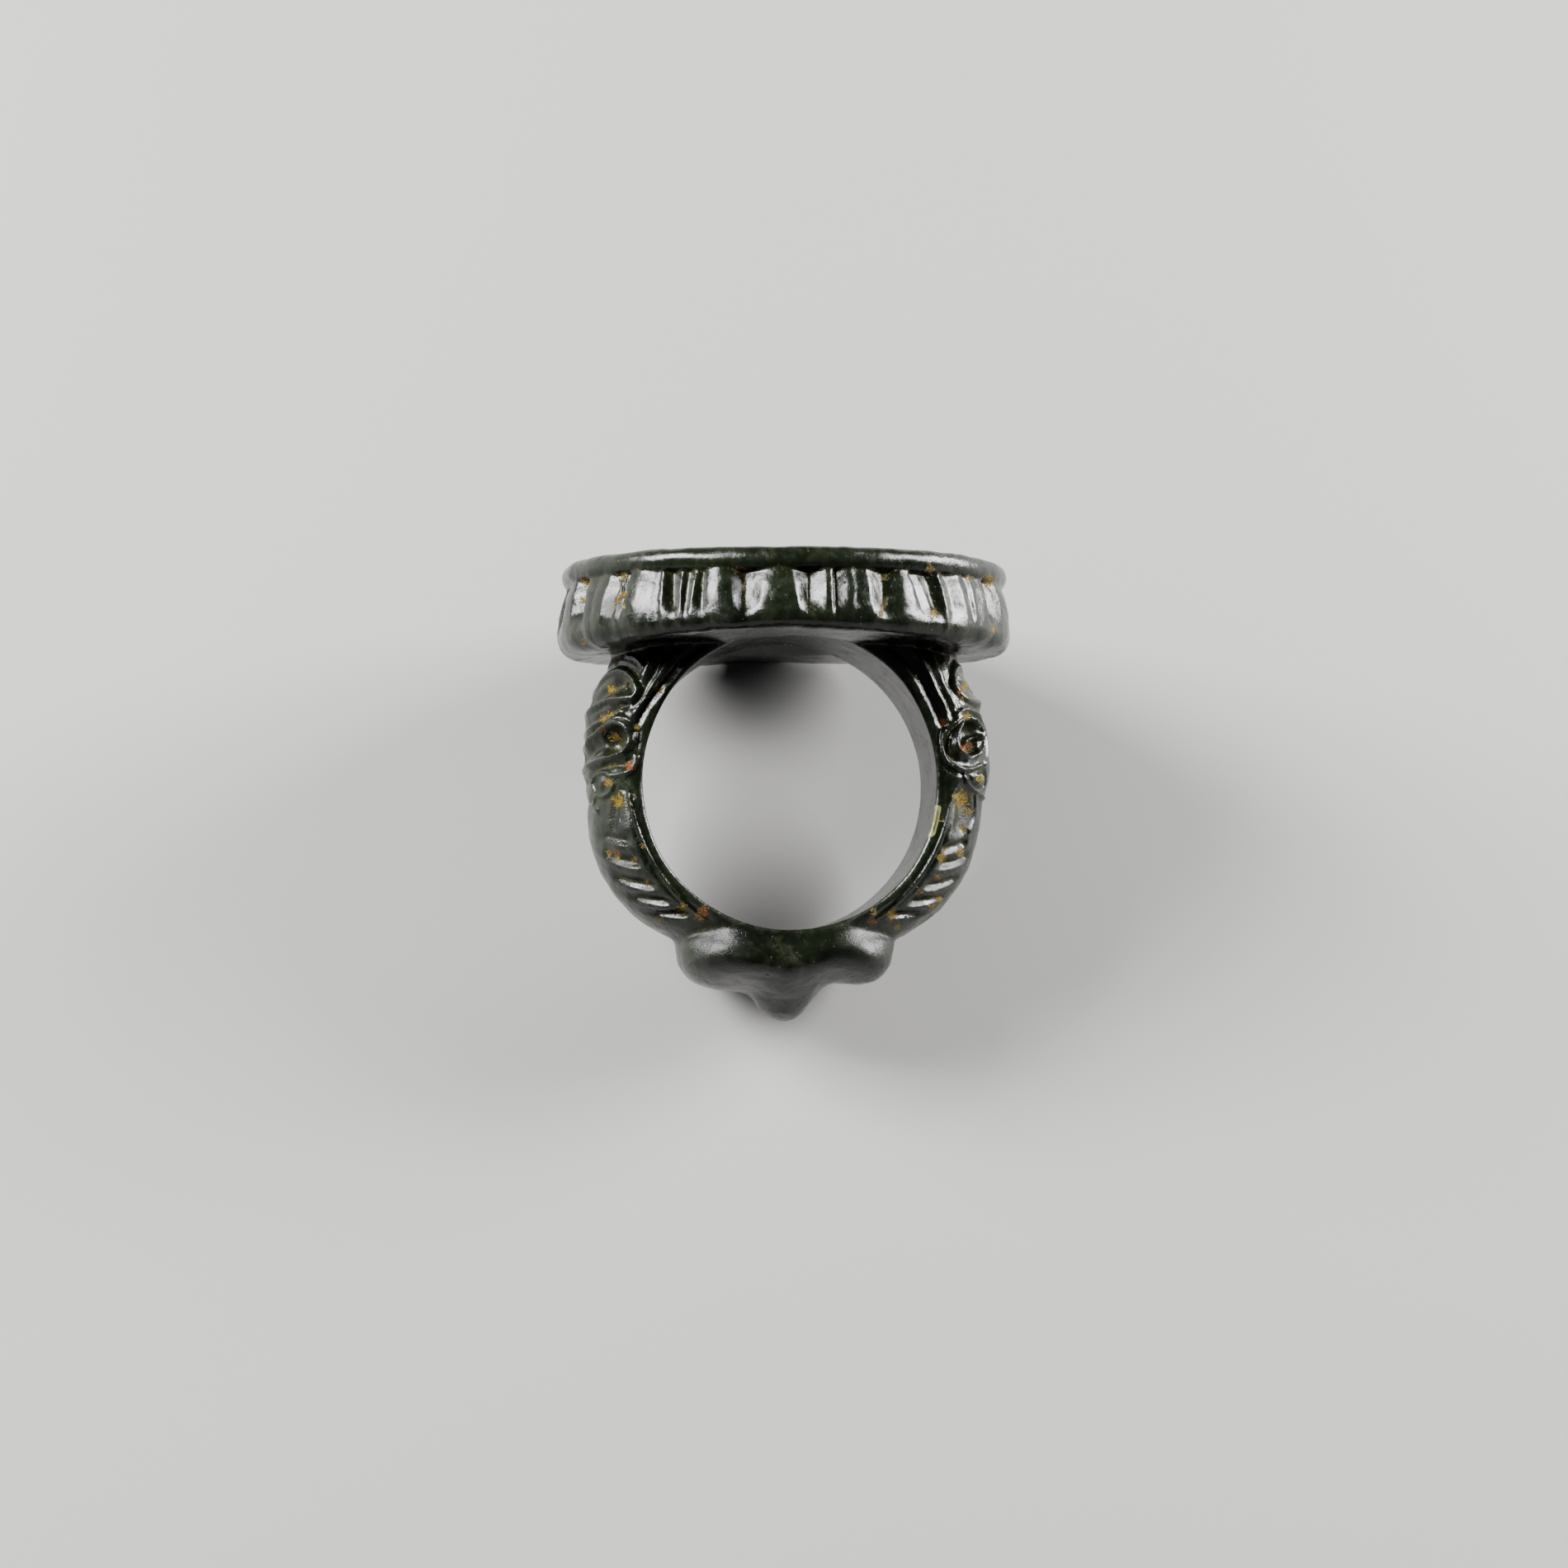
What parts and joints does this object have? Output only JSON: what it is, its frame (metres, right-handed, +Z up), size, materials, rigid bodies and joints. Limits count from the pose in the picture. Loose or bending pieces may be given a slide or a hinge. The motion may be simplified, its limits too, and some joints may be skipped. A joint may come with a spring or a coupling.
{
  "type": "carved ring",
  "caption": "Finger ring carved from one dark green stone: a round gadrooned bezel, a band of scrolls, strands and leaves, and a smooth knop with a drop at its foot.",
  "frame": {"origin": "centre of the part seen from above, on the floor that it rests on", "axes": "the ring lies on its side as it rests: X runs across the finger hole, +Y towards the bezel, +Z up; the finger hole leans about 22 degrees from upright"},
  "size_m": [0.0278, 0.0308, 0.0269],
  "materials": {
    "jade": "polished dark green stone, worn to satin in places"
  },
  "bodies": {
    "root": {"carved_ring": "jade"}
  },
  "joints": []
}
